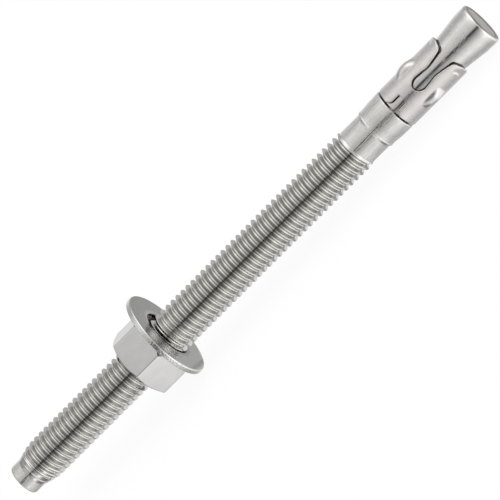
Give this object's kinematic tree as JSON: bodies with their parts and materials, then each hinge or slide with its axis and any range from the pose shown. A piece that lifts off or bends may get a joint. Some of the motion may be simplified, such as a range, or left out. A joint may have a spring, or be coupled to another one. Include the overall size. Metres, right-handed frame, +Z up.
{
  "type": "wedge anchor",
  "caption": "Stud-type wedge anchor with a threaded tail, hex nut, flat washer and slit expansion clip on a tapered neck, for fixing into a drilled hole in concrete.",
  "frame": {"origin": "on the floor the anchor lies on, under the middle of its bounding box", "axes": "+Z up; +X level, along the anchor from its tail to its head, above which the anchor's own axis slopes down by about 3 degrees"},
  "size_m": [0.178, 0.0272, 0.0273],
  "materials": {
    "stud_steel": "bright cold-formed stainless steel, fine drawn lines",
    "clip_steel": "satin rolled stainless sheet",
    "washer_steel": "matt punched stainless sheet",
    "nut_steel": "smooth stainless steel"
  },
  "bodies": {
    "stud": {"stud": "stud_steel"},
    "expansion_clip": {"expansion_clip": "clip_steel"},
    "flat_washer": {"flat_washer": "washer_steel"},
    "hex_nut": {"hex_nut": "nut_steel"}
  },
  "joints": [
    {"name": "washer_travel", "type": "slide", "parent": "stud", "child": "flat_washer", "axis": [0.9985, 0, -0.0546], "range_m": [-0.03712, 0.07229]},
    {"name": "nut_turn", "type": "hinge", "parent": "flat_washer", "child": "hex_nut", "pos_m": [-0.03734, 0, 0.01321], "axis": [0.9985, 0, -0.0546], "range_deg": [-6840, 13320]},
    {"name": "clip_turn", "type": "hinge", "parent": "stud", "child": "expansion_clip", "pos_m": [0.06738, 0, 0.00747], "axis": [0.9985, 0, -0.0546], "continuous": true}
  ],
  "couplings": [
    {"joint": "nut_turn", "follows": "washer_travel", "rad_per_m": 3215.8}
  ]
}
